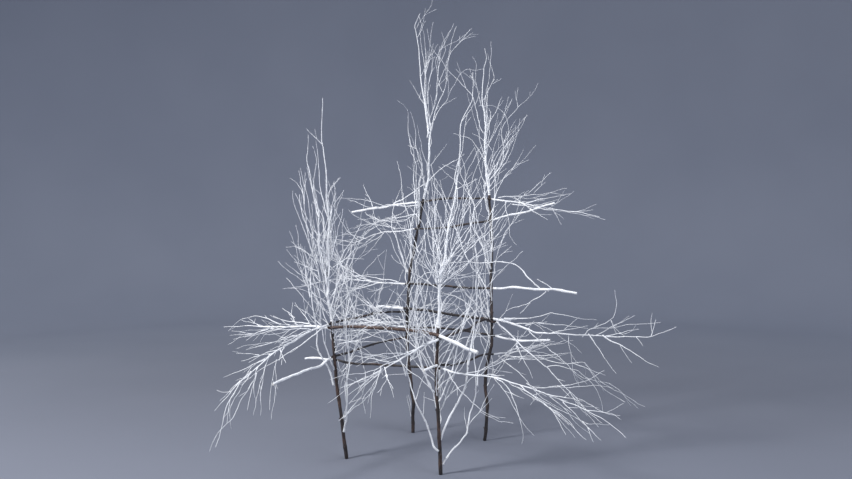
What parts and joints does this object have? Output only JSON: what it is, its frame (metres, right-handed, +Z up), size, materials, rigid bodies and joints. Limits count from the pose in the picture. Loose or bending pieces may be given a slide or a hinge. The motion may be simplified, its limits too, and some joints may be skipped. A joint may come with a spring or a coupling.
{
  "type": "twig chair",
  "caption": "Side chair outlined by whole crossing tree branches: bark wood where they draw the chair, white butts and twiggy crowns where they run on past it.",
  "frame": {"origin": "on the floor, in the middle of the four feet", "axes": "+Z up, -Y towards the front of the chair, +X towards its right side as seen from the front"},
  "size_m": [1.5541, 1.3182, 1.7484],
  "materials": {
    "bark_wood": "dark brown bark, rough",
    "white_wood": "white paint over bark, matt",
    "screw_steel": "dull steel"
  },
  "bodies": {
    "root": {"front_left_leg": "bark_wood", "front_right_leg": "bark_wood", "back_left_post": "bark_wood", "back_right_post": "bark_wood", "front_seat_rail": "bark_wood", "left_seat_rail": "bark_wood", "right_seat_rail": "bark_wood", "back_seat_rail": "bark_wood", "front_stretcher": "bark_wood", "left_stretcher": "bark_wood", "right_stretcher": "bark_wood", "back_stretcher": "bark_wood", "middle_back_rail": "bark_wood", "second_back_rail": "bark_wood", "top_back_rail": "bark_wood", "front_left_leg_crown": "white_wood", "front_right_leg_crown": "white_wood", "back_left_post_crown": "white_wood", "back_right_post_crown": "white_wood", "front_seat_rail_crown": "white_wood", "left_seat_rail_crown": "white_wood", "right_seat_rail_crown": "white_wood", "back_seat_rail_crown": "white_wood", "front_stretcher_crown": "white_wood", "left_stretcher_crown": "white_wood", "right_stretcher_crown": "white_wood", "back_stretcher_crown": "white_wood", "middle_back_rail_crown": "white_wood", "second_back_rail_crown": "white_wood", "top_back_rail_crown": "white_wood", "front_seat_rail_butt": "white_wood", "left_seat_rail_butt": "white_wood", "right_seat_rail_butt": "white_wood", "back_seat_rail_butt": "white_wood", "front_stretcher_butt": "white_wood", "left_stretcher_butt": "white_wood", "right_stretcher_butt": "white_wood", "back_stretcher_butt": "white_wood", "middle_back_rail_butt": "white_wood", "second_back_rail_butt": "white_wood", "top_back_rail_butt": "white_wood", "front_left_leg_shoots": "white_wood", "front_right_leg_shoots": "white_wood", "back_left_post_shoots": "white_wood", "back_right_post_shoots": "white_wood", "left_seat_rail_shoots": "white_wood", "seat_rail_screws": "screw_steel", "stretcher_screws": "screw_steel", "back_rail_screws": "screw_steel"}
  },
  "joints": []
}
